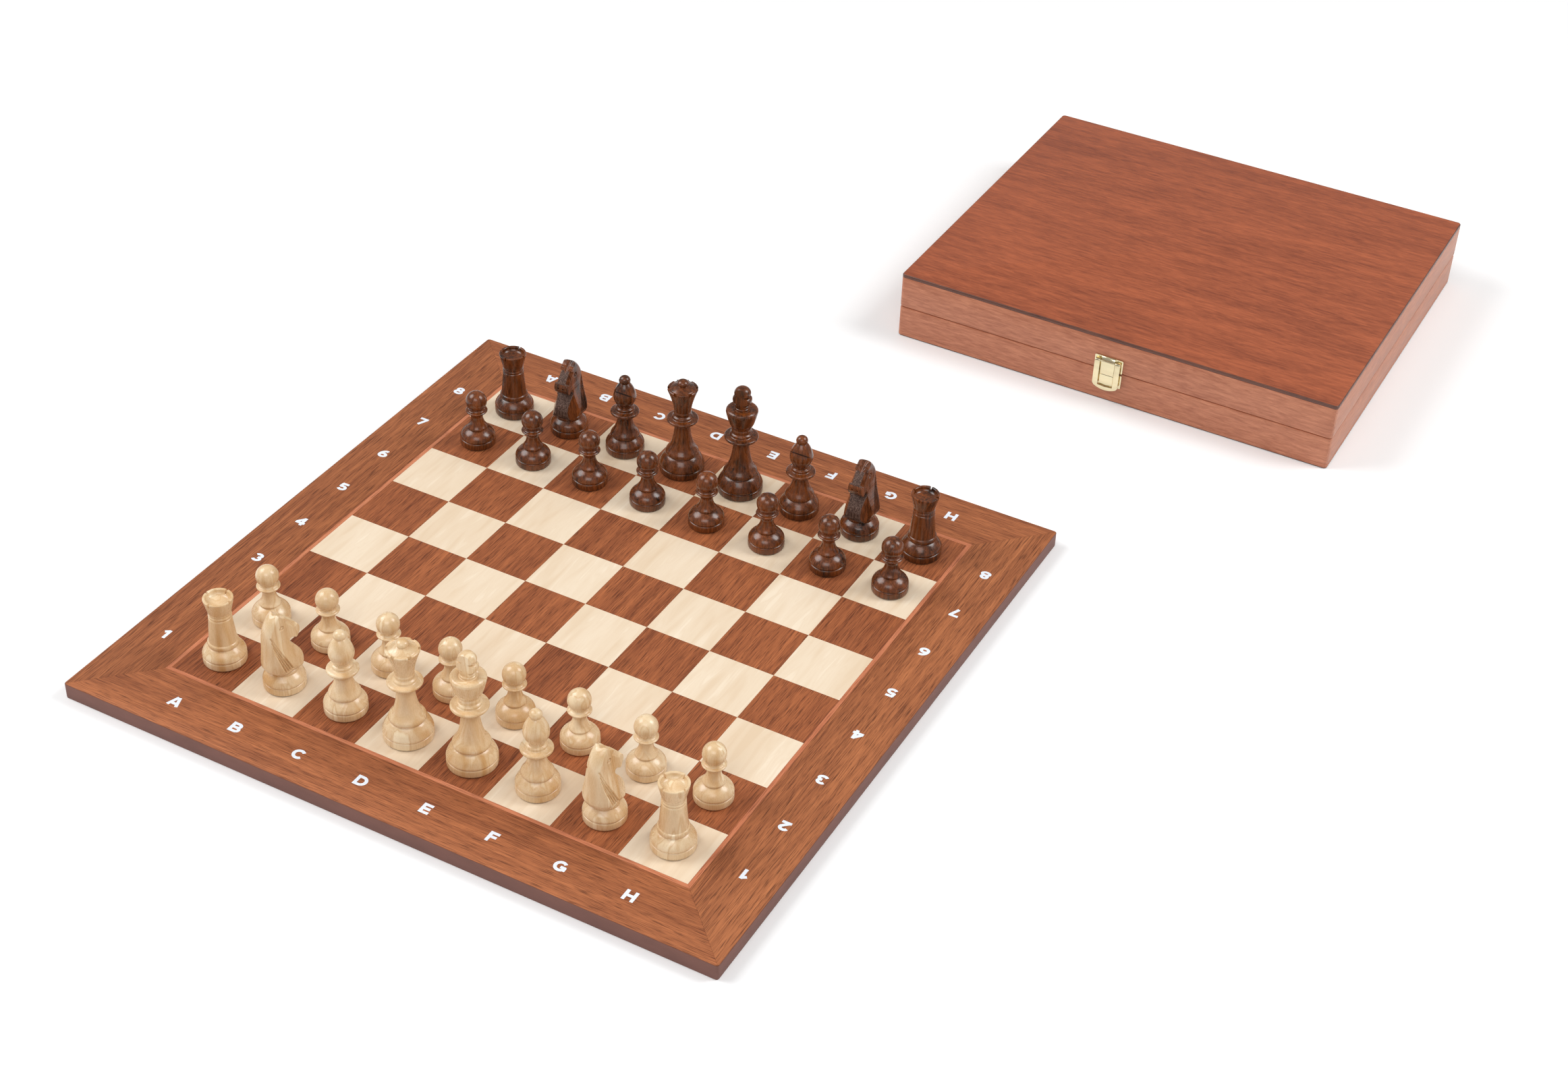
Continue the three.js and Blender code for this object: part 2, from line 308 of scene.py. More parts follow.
def prism(outline, length, matrix):
    """An outline in the local XY plane, raised along local Z by length both ways."""
    return moved(plate("prism", outline, -length, length), matrix)


def basis(right, up, out, at=(0, 0, 0)):
    """The matrix that turns local X, Y and Z into these directions."""
    made = Matrix((right, up, out)).transposed().to_4x4()
    made.translation = Vector(at)
    return made


def modified(holder):
    """The holder's mesh with its modifiers applied."""
    graph = bpy.context.evaluated_depsgraph_get()
    return bpy.data.meshes.new_from_object(holder.evaluated_get(graph), depsgraph=graph)


def side_on(at=(0, 0, 0), side=1):
    """Local X goes forward, Y up and Z out to one side."""
    return basis((0, 1, 0), UP, (side, 0, 0), at)


def boolean(mesh, operation, *tools):
    """The mesh with the tools cut from it, added to it or intersected with it."""
    holders = [linked("work", each) for each in (mesh, *tools)]
    for tool in holders[1:]:
        step = holders[0].modifiers.new("step", "BOOLEAN")
        step.operation = operation
        step.solver = "MANIFOLD"
        step.object = tool
    made = modified(holders[0])
    for holder in holders:
        bpy.data.objects.remove(holder)
    return made


def softened(mesh, voxel, rounds):
    """The mesh rebuilt with small even faces and its edges rubbed round, as by sanding."""
    holder = linked("work", mesh)
    rebuild = holder.modifiers.new("rebuild", "REMESH")
    rebuild.mode = "VOXEL"
    rebuild.voxel_size = voxel * MM
    rub = holder.modifiers.new("rub", "SMOOTH")
    rub.iterations = rounds
    rub.factor = 0.5
    made = modified(holder)
    bpy.data.objects.remove(holder)
    made.shade_smooth()
    return made


def two_looks(mesh, first, second, chooses):
    """Gives each face the first look, or the second where chooses(face) is true."""
    mesh.materials.append(first)
    mesh.materials.append(second)
    for face in mesh.polygons:
        face.material_index = int(chooses(face))


def add_piece(name, mesh, look, body, stands_for=(), at=(0, 0, 0), turn=0.0):
    """A visible piece: the mesh placed in metres, riding on a body.

    A mesh that has its looks already keeps them.
    """
    if look and not any(mesh.materials):
        mesh.materials.clear()
        mesh.materials.append(look)
    piece = linked(name, mesh)
    piece.location = at
    piece.rotation_euler.z = math.radians(turn)
    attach(piece, body)
    if stands_for:
        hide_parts(*stands_for)
    return piece


# ---- looks ----

def srgb(red, green, blue):
    """The shader's linear colour for an sRGB colour of 0 to 255."""
    linear = [((c / 255 + 0.055) / 1.055) ** 2.4 for c in (red, green, blue)]
    return (*linear, 1.0)


def shade(colour, strength):
    return (*[strength * c for c in colour[:3]], 1.0)


class Look:
    """A node material built around its Principled shader."""

    def __init__(self, name, **settings):
        self.material = bpy.data.materials.new(name)
        self.material.use_nodes = True
        self.tree = self.material.node_tree
        self.shader = self.tree.nodes["Principled BSDF"]
        for socket, value in settings.items():
            self.shader.inputs[socket.replace("_", " ")].default_value = value

    def add(self, kind, sockets, output=0, **settings):
        """A new node with its sockets joined or set. Gives one of its outputs."""
        node = self.tree.nodes.new(kind)
        for name, value in settings.items():
            setattr(node, name, value)
        for key, value in sockets.items():
            self.join(value, node.inputs[key])
        return node.outputs[output]

    def join(self, value, socket):
        if isinstance(value, bpy.types.NodeSocket):
            self.tree.links.new(value, socket)
        else:
            socket.default_value = value

    def drive(self, socket, value):
        self.join(value, self.shader.inputs[socket])

    def math(self, operation, first, second=0.0):
        return self.add("ShaderNodeMath", {0: first, 1: second}, operation=operation)

    def sum_of(self, *parts):
        """The sum of values, each given with its weight."""
        total, *rest = [self.math("MULTIPLY", value, weight) for value, weight in parts]
        for value in rest:
            total = self.math("ADD", total, value)
        return total

    def noise(self, vector, scale, detail, roughness=0.55, distortion=0.0):
        sockets = {"Vector": vector, "Scale": scale, "Detail": detail,
                   "Roughness": roughness, "Distortion": distortion}
        return self.add("ShaderNodeTexNoise", sockets, "Fac")

    def ramp(self, value, stops):
        colour = self.add("ShaderNodeValToRGB", {"Fac": value}, "Color")
        for element, (position, stop) in zip(colour.node.color_ramp.elements, stops):
            element.position = position
            element.color = stop
        return colour

    def blend(self, factor, first, second):
        return self.add("ShaderNodeMix", {"Factor": factor, 6: first, 7: second}, 2, data_type="RGBA")

    def spread(self, value, low, high, to_low=0.0, to_high=1.0):
        sockets = {"Value": value, "From Min": low, "From Max": high,
                   "To Min": to_low, "To Max": to_high}
        return self.add("ShaderNodeMapRange", sockets, "Result")

    def colour_by(self, value, low, high, first, last):
        """From the first colour to the last as the value goes from low to high."""
        return self.ramp(self.spread(value, low, high), [(0.0, first), (1.0, last)])

    def rough_by(self, value, low, high):
        self.drive("Roughness", self.spread(value, 0.3, 0.7, low, high))

    def bump(self, height, strength, distance):
        sockets = {"Height": height, "Strength": strength, "Distance": distance}
        self.drive("Normal", self.add("ShaderNodeBump", sockets, "Normal"))

    def grain_space(self, along, stretch):
        """Coordinates in metres with the grain drawn out along one axis.

        They are moved by a number of its own for each piece, and for each leaf of veneer in a piece.
        """
        place = self.add("ShaderNodeTexCoord", {}, "Object")
        random_number = self.add("ShaderNodeObjectInfo", {}, "Random")
        leaf = self.add("ShaderNodeAttribute", {}, "Fac", attribute_name="leaf")
        sockets = {0: (17.3, 9.1, 5.7), "Scale": self.math("ADD", random_number, leaf)}
        jump = self.add("ShaderNodeVectorMath", sockets, operation="SCALE")
        place = self.add("ShaderNodeVectorMath", {0: place, 1: jump}, operation="ADD")
        scale = [1.0 / stretch if axis == along else 1.0 for axis in "XYZ"]
        return self.add("ShaderNodeMapping", {"Vector": place, "Scale": scale}, "Vector")


def open_grain(name, along, dark, light, figure=1.0):
    """Mahogany-like veneer: fine pores, ribbon stripes and slow changes of tone."""
    look = Look(name, Specular_IOR_Level=0.25)
    space = look.grain_space(along, 30)
    pores = look.noise(space, 2200, 3.0, 0.6)
    fibres = look.noise(space, 1100, 4.0, 0.75, 0.2)
    ribbons = look.noise(space, 220, 3.0, 0.5, 0.3)
    tone = look.noise(space, 14, 2.0)
    mixed = look.sum_of((fibres, 0.5), (ribbons, 0.3 * figure), (tone, 0.25))
    pits = look.spread(pores, 0.36, 0.47, 1.0, 0.0)
    colour = look.colour_by(mixed, 0.38, 0.68, dark, light)
    colour = look.blend(look.math("MULTIPLY", pits, 0.75), colour, shade(dark, 0.5))
    look.drive("Base Color", colour)
    look.rough_by(fibres, 0.58, 0.45)
    look.bump(look.math("SUBTRACT", fibres, look.math("MULTIPLY", pits, 0.6)), 0.25, 0.0002)
    return look.material


def close_grain(name, along, dark, light, roughness=0.4, coat=0.1, rings=170, lines_weight=0.35):
    """Maple-like wood: pale, with faint growth rings and short flecks."""
    look = Look(name, Coat_Weight=coat, Coat_Roughness=0.2, Specular_IOR_Level=0.45)
    space = look.grain_space(along, 9)
    growth = look.noise(space, rings, 2.0, 0.45, 0.6)
    flecks = look.noise(space, 1400, 2.0, 0.5)
    tone = look.noise(space, 30, 2.0)
    waves = look.math("PINGPONG", look.math("MULTIPLY", growth, 5.0), 1.0)
    lines = look.spread(waves, 0.0, 0.35, 1.0, 0.0)
    colour = look.colour_by(look.sum_of((growth, 0.5), (tone, 0.5)), 0.35, 0.65, light, dark)
    colour = look.blend(look.math("MULTIPLY", lines, lines_weight), colour, dark)
    colour = look.blend(look.spread(flecks, 0.6, 0.75, 0.0, 0.25), colour, dark)
    look.drive("Base Color", colour)
    look.rough_by(flecks, roughness - 0.04, roughness + 0.06)
    look.bump(look.math("ADD", growth, look.math("MULTIPLY", flecks, 0.3)), 0.12, 0.0002)
    return look.material


def stained_wood(name, along, dark, light, roughness, coat, cloud=0.45):
    """Stained hardwood under lacquer: streaks of stain, darker in patches."""
    look = Look(name, Coat_Weight=coat, Coat_Roughness=0.12, Specular_IOR_Level=0.5)
    space = look.grain_space(along, 7)
    streaks = look.noise(space, 520, 5.0, 0.65, 0.4)
    patches = look.noise(space, 45, 3.0, 0.5, 1.2)
    mixed = look.sum_of((streaks, 1 - cloud), (patches, cloud))
    look.drive("Base Color", look.colour_by(mixed, 0.36, 0.64, dark, light))
    look.rough_by(streaks, roughness - 0.05, roughness + 0.08)
    look.bump(streaks, 0.1, 0.0002)
    return look.material


def filed_wood(name, dark, light):
    """Wood left rough by a file, with two crossed sets of scratches."""
    look = Look(name, Roughness=0.6, Specular_IOR_Level=0.3)
    place = look.add("ShaderNodeTexCoord", {}, "Object")
    scratches = []
    for tilt in (35, -50):
        sockets = {"Vector": place, "Rotation": (0, math.radians(tilt), 0), "Scale": (1, 1, 0.06)}
        tilted = look.add("ShaderNodeMapping", sockets, "Vector")
        scratches.append(look.noise(tilted, 1700, 2.0, 0.6))
    mixed = look.math("MAXIMUM", *scratches)
    look.drive("Base Color", look.colour_by(mixed, 0.5, 0.68, dark, light))
    look.bump(mixed, 0.5, 0.0003)
    return look.material


def painted_edge(name, colour):
    look = Look(name, Specular_IOR_Level=0.35)
    space = look.grain_space("Z", 0.5)
    fine = look.noise(space, 1500, 3.0)
    broad = look.noise(space, 40, 2.0)
    mixed = look.sum_of((fine, 0.5), (broad, 0.5))
    dark, light = shade(colour, 0.8), shade(colour, 1.15)
    look.drive("Base Color", look.colour_by(mixed, 0.3, 0.7, dark, light))
    look.rough_by(fine, 0.5, 0.65)
    look.bump(fine, 0.2, 0.0001)
    return look.material


def felt(name, dark, light):
    look = Look(name, Roughness=0.95, Sheen_Weight=0.4, Sheen_Roughness=0.6, Specular_IOR_Level=0.2)
    space = look.grain_space("Z", 1)
    fibres = look.noise(space, 2600, 4.0, 0.7, 1.5)
    clumps = look.noise(space, 240, 3.0)
    mixed = look.sum_of((fibres, 0.6), (clumps, 0.4))
    look.drive("Base Color", look.colour_by(mixed, 0.35, 0.65, dark, light))
    look.bump(mixed, 0.6, 0.0004)
    return look.material


def brass(name, colour, roughness=0.16):
    look = Look(name, Metallic=1.0)
    space = look.grain_space("X", 8)
    rub = look.noise(space, 2200, 3.0)
    haze = look.noise(space, 120, 3.0)
    look.drive("Base Color", look.ramp(haze, [(0.35, shade(colour, 0.86)), (0.6, colour)]))
    look.rough_by(rub, roughness - 0.04, roughness + 0.1)
    look.bump(rub, 0.05, 0.0001)
    return look.material


def ink(name, colour):
    look = Look(name, Specular_IOR_Level=0.3)
    fine = look.noise(look.grain_space("Z", 1), 900, 3.0)
    look.drive("Base Color", look.ramp(fine, [(0.35, shade(colour, 0.93)), (0.6, colour)]))
    look.rough_by(fine, 0.4, 0.55)
    return look.material


DARK_SQUARE = open_grain("dark_square_veneer", "Y", srgb(112, 58, 34), srgb(182, 108, 66))
LIGHT_SQUARE = close_grain("light_square_veneer", "Y", srgb(222, 198, 168), srgb(237, 220, 196))
BORDER_ALONG_X = open_grain("border_veneer_x", "X", srgb(116, 62, 38), srgb(190, 117, 74))
BORDER_ALONG_Y = open_grain("border_veneer_y", "Y", srgb(120, 66, 40), srgb(190, 118, 74))
STRING_ALONG_X, STRING_ALONG_Y = [
    open_grain("stringing_" + axis.lower(), axis, srgb(186, 110, 76), srgb(214, 142, 104), figure=0.6)
    for axis in "XY"
]
BOARD_EDGE = painted_edge("board_edge_paint", srgb(120, 80, 70))
WHITE_WOOD = close_grain("white_wood", "Z", srgb(204, 160, 106), srgb(243, 222, 186),
                         roughness=0.27, coat=0.3, rings=110, lines_weight=0.6)
BLACK_WOOD = stained_wood("black_wood", "Z", srgb(30, 13, 4), srgb(130, 67, 25), 0.24, 0.1)
WHITE_FILED = filed_wood("white_filed_wood", srgb(214, 180, 130), srgb(238, 218, 184))
BLACK_FILED = filed_wood("black_filed_wood", srgb(58, 34, 24), srgb(126, 100, 88))
PANEL_WOOD = stained_wood("box_panel_wood", "X", srgb(126, 60, 34), srgb(172, 90, 54), 0.42, 0.08, 0.35)
PANEL_EDGE = stained_wood("box_panel_edge", "X", srgb(74, 38, 26), srgb(106, 62, 44), 0.4, 0.2)
WALL_ALONG_X = stained_wood("box_wall_x", "X", srgb(160, 94, 66), srgb(196, 128, 96), 0.45, 0.05, 0.2)
# The side walls' wood has its grain along Y; its colours are a little lighter and greyer than the front and
# back walls' wood, as painted light and sheen from the right.
WALL_ALONG_Y_PAINTED_LIGHTER = stained_wood("box_wall_y", "Y", srgb(164, 102, 76), srgb(198, 136, 108), 0.45, 0.05, 0.2)
GREEN_FELT = felt("green_felt", srgb(24, 52, 30), srgb(48, 88, 52))
LATCH_BRASS = brass("latch_brass", srgb(234, 222, 184))
HINGE_BRASS = brass("hinge_brass", srgb(216, 190, 120), roughness=0.24)
WHITE_INK = ink("white_ink", srgb(232, 238, 246))


# ---- board ----

board_low, board_high = box_of("board_core")
board_middle = (board_low + board_high) / 2
BOARD = board_high.x - board_low.x


def on_board(mesh):
    return shifted(mesh, board_middle.x, board_middle.y)


def board_panel():
    """The core, with a thin painted lip that stands beside the edge of the veneer."""
    section = [(0.5, 0), (0.12, 0.12), (0, 0.5), (0, LIP_TOP - 0.22), (0.06, LIP_TOP - 0.02),
               (LIP, LIP_TOP), (LIP, VENEER_BOTTOM - 0.05)]
    mesh = swept_rectangle("board_panel", BOARD, BOARD, BOARD_CORNER, section, closed=False)
    add_piece("board_panel", on_board(mesh), BOARD_EDGE, "board", ["board_core"])


def square_place(number):
    """How far the middle of a file or rank is from the middle of the board."""
    return (number - (FILES - 1) / 2) * SQUARE


def squares():
    """Sixty-four leaves of veneer, as one piece for each colour; each leaf has its own grain."""
    picks = random.Random(4)
    half = (SQUARE - JOINT) / 2
    outline = rectangle(-half, half, -half, half)
    for colour, look, parity in (("dark", DARK_SQUARE, 0), ("light", LIGHT_SQUARE, 1)):
        leaves = []
        for file in range(FILES):
            for rank in range(FILES):
                if (file + rank) % 2 != parity:
                    continue
                made = plate("leaf", outline, VENEER_BOTTOM, BOARD_TOP, JOINT, 1)
                shifted(made, square_place(file), square_place(rank))
                number = made.attributes.new("leaf", "FLOAT", "POINT")
                number.data.foreach_set("value", [picks.random() * 3] * len(made.vertices))
                leaves.append(made)
        mesh = smooth(on_board(merged(colour + "_squares", leaves)))
        stands_for = ["playing_field"] if colour == "dark" else []
        add_piece(colour + "_squares", mesh, look, "board", stands_for)


def borders():
    """Four strips of veneer with 45 degree mitres; each rounds half of its two outer corners."""
    corner = BOARD / 2 - LIP - 0.02 - BOARD_CORNER
    inner = HALF_FIELD + STRINGING
    bend = bow(corner, -corner, BOARD_CORNER, BOARD_CORNER, -90, -45, 4)
    right = [(x - JOINT, y) for x, y in bend] + [(inner - JOINT, -inner)]
    left = [(-x, y) for x, y in reversed(right)]
    for quarter, side in enumerate(("front", "right", "back", "left")):
        mesh = plate("border_" + side, left + right, VENEER_BOTTOM, BOARD_TOP, 0.12, 2)
        moved(mesh, spin(90 * quarter))
        look = (BORDER_ALONG_X, BORDER_ALONG_Y)[quarter % 2]
        add_piece("border_strip_" + side, on_board(mesh), look, "board", ["border_" + side])


def stringing():
    """Four thin strips between the field and the border, mitred at the corners."""
    gap = 0.03
    inner = HALF_FIELD + gap
    outer = HALF_FIELD + STRINGING - gap
    outline = [(-outer + gap, -outer), (outer - gap, -outer), (inner - gap, -inner), (-inner + gap, -inner)]
    strips = [moved(plate("strip", outline, VENEER_BOTTOM, BOARD_TOP, JOINT, 1), spin(90 * quarter))
              for quarter in range(4)]
    mesh = smooth(merged("stringing", strips))
    two_looks(mesh, STRING_ALONG_X, STRING_ALONG_Y, lambda face: abs(face.center.x) > abs(face.center.y))
    add_piece("stringing", on_board(mesh), None, "board", ["inlay_stringing"])


# Each character as the middle lines of its strokes, with a height of one.
STEM = [(0.12, 0), (0.12, 1)]
STROKES = {
    "A": [[(0.12, 0), (0.43, 0.97)], [(0.53, 0.97), (0.84, 0)], [(0.24, 0.28), (0.72, 0.28)]],
    "B": [STEM, [(0.1, 0.88), *bow(0.46, 0.695, 0.22, 0.185, 90, -90), (0.1, 0.51)],
          [(0.1, 0.51), *bow(0.5, 0.315, 0.24, 0.195, 90, -90), (0.1, 0.12)]],
    "C": [bow(0.48, 0.5, 0.36, 0.38, 40, 320, 24)],
    "D": [STEM, [(0.1, 0.88), *bow(0.42, 0.5, 0.36, 0.38, 90, -90), (0.1, 0.12)]],
    "E": [STEM, [(0.1, 0.88), (0.72, 0.88)], [(0.1, 0.5), (0.68, 0.5)], [(0.1, 0.12), (0.74, 0.12)]],
    "F": [STEM, [(0.1, 0.88), (0.7, 0.88)], [(0.1, 0.5), (0.64, 0.5)]],
    "G": [bow(0.48, 0.5, 0.36, 0.38, 42, 335, 24), [(0.5, 0.44), (0.9, 0.44)],
          [(0.82, 0.46), (0.82, 0.12)]],
    "H": [STEM, [(0.74, 0), (0.74, 1)], [(0.1, 0.5), (0.76, 0.5)]],
    "1": [[(0.46, 0), (0.46, 1)], [(0.14, 0.68), (0.46, 0.9)]],
    "2": [[*bow(0.38, 0.67, 0.26, 0.21, 165, -30), (0.14, 0.1)], [(0.04, 0.12), (0.72, 0.12)]],
    "3": [bow(0.36, 0.695, 0.25, 0.185, 155, -90), bow(0.36, 0.315, 0.28, 0.195, 90, -155)],
    "4": [[(0.56, 0), (0.56, 1)], [(0.54, 0.9), (0.1, 0.34)], [(0.02, 0.3), (0.8, 0.3)]],
    "5": [[(0.7, 0.88), (0.14, 0.88)], [(0.22, 0.9), (0.18, 0.46)], bow(0.38, 0.34, 0.28, 0.22, 140, -150)],
    "6": [bow(0.4, 0.33, 0.27, 0.21, 0, 360, 24), bow(0.56, 0.34, 0.43, 0.54, 78, 180)],
    "7": [[(0.04, 0.88), (0.74, 0.88)], [(0.66, 0.9), (0.28, 0)]],
    "8": [bow(0.4, 0.7, 0.22, 0.18, 0, 360, 24), bow(0.4, 0.31, 0.28, 0.19, 0, 360, 24)],
}


def stroke(line):
    """A flat band of paint along a middle line; a line that ends where it starts makes a loop."""
    line = [Vector(point) for point in line]
    loop = (line[0] - line[-1]).length < 1e-4
    if loop:
        line.pop()
    count = len(line)
    rings = []
    for i, point in enumerate(line):
        before = line[i - 1] if loop or i else point
        after = line[(i + 1) % count] if loop or i < count - 1 else point
        ahead = (after - before).normalized()
        side = Vector((-ahead.y, ahead.x)) * HALF_STROKE
        corners = ((point - side, 0), (point + side, 0), (point + side, INK), (point - side, INK))
        rings.append([(at.x * LETTER_HEIGHT, at.y * LETTER_HEIGHT, height) for at, height in corners])
    made = skin("stroke", rings, closed=loop)
    work = bmesh.new()
    work.from_mesh(made)
    if work.calc_volume(signed=True) < 0:
        made.flip_normals()
    work.free()
    return made


def letter(character):
    """A printed character, centred, lying flat."""
    first, *rest = [stroke(line) for line in STROKES[character]]
    mesh = boolean(first, "UNION", *rest) if rest else first
    places = [vertex.co for vertex in mesh.vertices]
    low, high = [Vector([pick(values) for values in zip(*places)]) for pick in (min, max)]
    mesh.transform(Matrix.Translation(-(low + high) / 2))
    mesh.transform(Matrix.Diagonal((LETTER_WIDENING, 1, 1, 1)))
    return mesh


def notation():
    """Files and ranks on all four sides: upright for white in front and on the left, for black
    at the back and on the right."""
    reach = BOARD / 2 - LETTER_FROM_EDGE
    sides = {
        "front": ("ABCDEFGH", lambda along: (along, -reach), 0),
        "back": ("ABCDEFGH", lambda along: (along, reach), 180),
        "left": ("12345678", lambda along: (-reach, along), 0),
        "right": ("12345678", lambda along: (reach, along), 180),
    }
    for side, (characters, place, turn) in sides.items():
        printed = []
        for number, character in enumerate(characters):
            at = Matrix.Translation((*place(square_place(number)), BOARD_TOP + INK / 2))
            printed.append(moved(letter(character), at @ spin(turn)))
        mesh = on_board(merged("notation_" + side, printed))
        add_piece("notation_" + side, mesh, WHITE_INK, "board")


# ---- men ----

E = "edge"


def foot(kind, waist):
    """The foot that all men share: a band, a groove and a dome up to the waist."""
    radius = FOOT_RADIUS[kind]
    return [
        (radius - 0.4, 0, E), (radius, 0.5), (radius, 4.9), (radius - 0.2, 5.2, E),
        (radius - 0.9, 5.6, E), (radius - 0.2, 5.9, E), (radius + 0.1, 6.6), (radius - 0.1, 7.6),
        (radius - 0.6, 8.8),
    ] + waist


PAWN = foot("pawn", [
    (11.3, 10.6), (9.6, 12.1), (8.1, 13.1), (7.1, 13.6, E), (7.6, 14.1), (7.6, 14.9), (7, 15.8),
    (6.2, 17), (5.4, 18.8), (4.8, 21), (4.6, 23.2), (5.1, 25.4), (6.4, 27.1), (7.6, 27.9, E),
    (8.1, 28.3), (8.2, 28.9), (7.7, 29.4, E), (6.4, 29.9), (5.6, 31.1, E),
]) + ball_top(8.0, 36.9, -45)[1:]

ROOK = foot("rook", [
    (13.2, 10.3), (12, 11.7), (10.9, 12.8), (10, 13.5, E), (10.4, 14), (10.6, 15.3), (10.3, 16.6),
    (9.6, 17.3, E), (9.3, 19.5), (8.8, 25.5), (8.3, 31), (7.9, 36.2, E), (7.4, 36.9), (7.8, 37.7),
    (7.9, 38.3), (7.5, 39, E), (7.4, 39.7), (7.8, 40.4), (7.7, 41, E), (8.2, 42.8), (9.1, 46.4),
    (9.9, 49.9), (10.2, 51.9), (10, 52.3, E), (8.8, 52.3, E), (8.4, 51.9), (8, 50.4), (6.6, 48.9),
    (3.2, 48.3), (0, 48.2),
])

BISHOP = foot("bishop", [
    (13, 10.2), (11.9, 11.6), (10.8, 12.7), (10, 13.4, E), (10.7, 13.9), (10.9, 14.9), (10.5, 16.2),
    (9.6, 17.6), (8.5, 19.3), (7.4, 21.6), (6.5, 24.2), (5.8, 27), (5.5, 29), (5.9, 31),
    (7.6, 32.4), (9.5, 33.1, E), (10.5, 33.5), (10.9, 34.5), (10.5, 35.4), (9.5, 35.9, E),
    (7.4, 36.4, E), (7, 36.9), (7, 38.2), (6.5, 38.8, E), (5.7, 39.3), (5.9, 40.4), (5.8, 40.9, E),
    (6.9, 42.6), (8.2, 45.4), (8.65, 48.2), (8.3, 51), (7.2, 54.2), (5.6, 57.3), (4.2, 59.2),
    (3.6, 59.9, E),
]) + ball_top(4.35, 62.0, -32, flatten=0.88)[1:]

QUEEN = foot("queen", [
    (15.3, 10.8), (14.1, 12.6), (12.8, 14.2), (11.6, 15.2, E), (12.3, 15.8), (12.5, 16.9), (12.1, 18.2),
    (11.1, 19.6), (9.9, 21.3), (8.8, 23.5), (7.9, 26.2), (7.1, 29.6), (6.4, 33.8), (5.9, 38.5),
    (6.3, 41.6), (8, 43.6), (10.4, 44.3, E), (11.4, 44.6), (11.9, 45.5), (11.5, 46.4),
    (10.5, 46.8, E), (8.2, 47, E), (7.8, 47.4), (7.6, 48.5), (7.1, 49, E), (6.3, 49.8), (6.7, 51.9),
    (6.4, 53.1, E), (6.6, 54.6), (7.2, 58.2), (8.3, 62.6), (9.7, 67), (10.9, 70.2), (11.4, 71.6),
    (11.4, 72.3), (10.9, 72.8, E), (9.8, 72.7, E), (9.5, 72.5), (9.1, 72.8, E), (7.8, 73.5),
    (5.8, 74.4), (3.9, 75.1, E),
]) + ball_top(4.4, 76.6, -30, flatten=0.68)[1:]

KING = foot("king", [
    (15.4, 10.8), (14.2, 12.6), (12.9, 14.2), (11.7, 15.2, E), (12.4, 15.8), (12.7, 17), (12.3, 18.3),
    (11.3, 19.8), (10.1, 21.6), (9, 24), (8, 27), (7.2, 30.6), (6.5, 35), (6, 39.6),
    (6.3, 43.2), (8, 45.3), (10.9, 46.4, E), (12.1, 46.7), (12.7, 47.7), (12.3, 48.7),
    (11.2, 49.2, E), (8.8, 49.5, E), (8.4, 49.9), (8.4, 51.2), (8, 51.7, E), (7.2, 52.4), (7.4, 54.4),
    (7, 56, E), (7.7, 57.2), (9.2, 60), (10.3, 63.4), (11.2, 66.8), (11.8, 69.4), (11.9, 70.5),
    (11.5, 71.6), (10.4, 72.4, E), (9, 72.6), (7, 72.2), (6.1, 71.7, E), (5.4, 71.9, E),
    (5.3, 73.2), (4.9, 73.6, E), (0, 73.8),
])
KING_FINIAL = [
    (4.9, 72.5, E), (4.9, 74, E), (5.4, 74.6), (5.4, 75.4), (5, 75.9, E), (4, 76.1, E),
    (4, 76.7, E), (5.7, 77.2, E), (6.8, 78.3), (7.2, 80.1), (7, 81.8), (6.2, 82.8, E),
    (4.2, 83.2, E), (4.2, 83.8, E), (5.8, 84.2, E), (6.2, 85.4), (6, 86.9), (4.9, 88.8), (3, 90.1),
    (0, 90.7),
]
KNIGHT_BASE = foot("knight_base", [
    (12.8, 10.3), (11.3, 11.8), (10.2, 12.8, E), (9.8, 13.2), (10.1, 14.2), (9.9, 15.3, E),
    (9.2, 16, E), (0, 16),
])

# The knight's head from the side, as (forward, height), from its foot round to its back.
KNIGHT_SIDE = [
    (10, 16), (11.6, 17.6), (12.6, 20.4), (12.4, 23.6), (10.8, 27.2), (7.8, 31.6), (5.2, 34.6),
    (3.4, 36.8), (3, 38.2), (3.8, 39.5), (5.6, 39.8), (7.4, 38.7), (9, 37.8), (10.8, 39.6),
    (12.4, 42.8), (12.4, 45.6), (10.8, 48), (3.4, 55.4), (2, 57.2), (0, 57.9), (-1.2, 59),
    (-2.8, 60.6), (-4.6, 60), (-8, 58), (-20, 58), (-20, 16),
]
KNIGHT_FRONT = 14
KNIGHT_EYE = (-1.6, 50.4)
# The ends of the mane's grooves: forward and height of the first, each with its step to the next.
MANE_GROOVES = 4
MANE_TOP = ((-10.9, 0.4), (46.5, -3.6))
MANE_FOOT = ((-0.2, -1.9), (19.5, 0))
# Level cuts through the uncut head: height, half width at the front, then how far forward and how
# wide the ridge is where the flat side meets the round back, and how far forward the back is.
KNIGHT_LEVELS = [
    (15.8, 8.6, -4.6, 9.8, -11.6), (17.2, 9.4, -5.8, 11.2, -13.2), (19.6, 9.9, -7.2, 11.9, -14.3),
    (22, 9.7, -8, 11.6, -14.2), (26, 8.9, -9, 10.4, -13.6), (32, 7.4, -10.2, 8.2, -13),
    (38, 5.8, -11, 6.6, -12.6), (44.5, 5.3, -11.1, 5.5, -12.4), (49, 5.1, -10.2, 5.4, -11.9),
    (53, 4.9, -8.4, 5.4, -10.7), (56.5, 4.9, -5.9, 5.3, -8.8), (59, 4.8, -3.6, 5, -6.4),
    (61, 4.8, -1.5, 4.8, -4),
]


def notches(outline, reach, radius, count, first=0):
    """Cutters with an upright outline, set round the axis at a radius."""
    cuts = []
    for step in range(count):
        turn = spin(first + 360 / count * step)
        cuts.append(prism(outline, reach, turn @ side_on((radius, 0, 0))))
    return cuts


